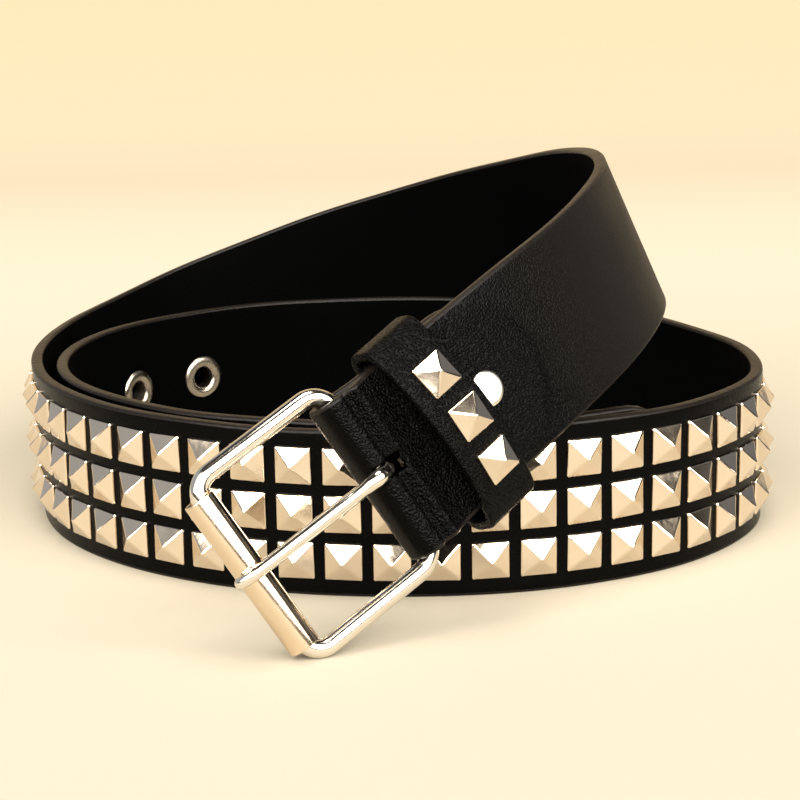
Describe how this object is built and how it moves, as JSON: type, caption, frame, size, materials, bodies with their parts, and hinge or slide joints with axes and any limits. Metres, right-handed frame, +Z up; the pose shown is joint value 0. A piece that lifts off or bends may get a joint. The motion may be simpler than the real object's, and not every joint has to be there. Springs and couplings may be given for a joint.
{
  "type": "studded belt",
  "caption": "Black leather belt with rows of pyramid studs, eyelets, a studded keeper and a roller buckle, lying loosely coiled.",
  "frame": {"origin": "middle of the belt's footprint, on the surface that it lies on", "axes": "+Z up, -Y towards the front where the buckle lies, +X to the right of the coil seen from the front"},
  "size_m": [0.1934, 0.2268, 0.0897],
  "materials": {
    "strap_leather": "black grained leather with painted edges",
    "stud_nickel": "bright nickel plate on pressed sheet",
    "bright_nickel": "polished nickel plate on steel wire",
    "eyelet_nickel": "nickel plate, a little duller than the buckle"
  },
  "bodies": {
    "belt": {"studded_strap": "strap_leather", "eyelet_1": "eyelet_nickel", "eyelet_2": "eyelet_nickel", "eyelet_3": "eyelet_nickel", "eyelet_4": "eyelet_nickel", "eyelet_5": "eyelet_nickel", "eyelet_6": "eyelet_nickel", "eyelet_7": "eyelet_nickel", "keeper": "strap_leather", "keeper_stud_1": "stud_nickel", "keeper_stud_2": "stud_nickel", "keeper_stud_3": "stud_nickel", "rivet": "bright_nickel"},
    "frame": {"buckle_frame": "bright_nickel"},
    "roller": {"roller": "bright_nickel"},
    "prong": {"prong": "bright_nickel"}
  },
  "joints": [
    {"name": "frame_swing", "type": "hinge", "parent": "belt", "child": "frame", "pos_m": [-0.0022, -0.09204, 0.0355], "axis": [-0.5485, 0.0421, 0.8351], "range_deg": [0, 35]},
    {"name": "roller_spin", "type": "hinge", "parent": "frame", "child": "roller", "pos_m": [-0.02857, -0.10689, 0.01893], "axis": [-0.5485, 0.0421, 0.8351], "continuous": true},
    {"name": "prong_swing", "type": "hinge", "parent": "frame", "child": "prong", "pos_m": [-0.0022, -0.09204, 0.0355], "axis": [-0.5485, 0.0421, 0.8351], "range_deg": [0, 45]}
  ]
}
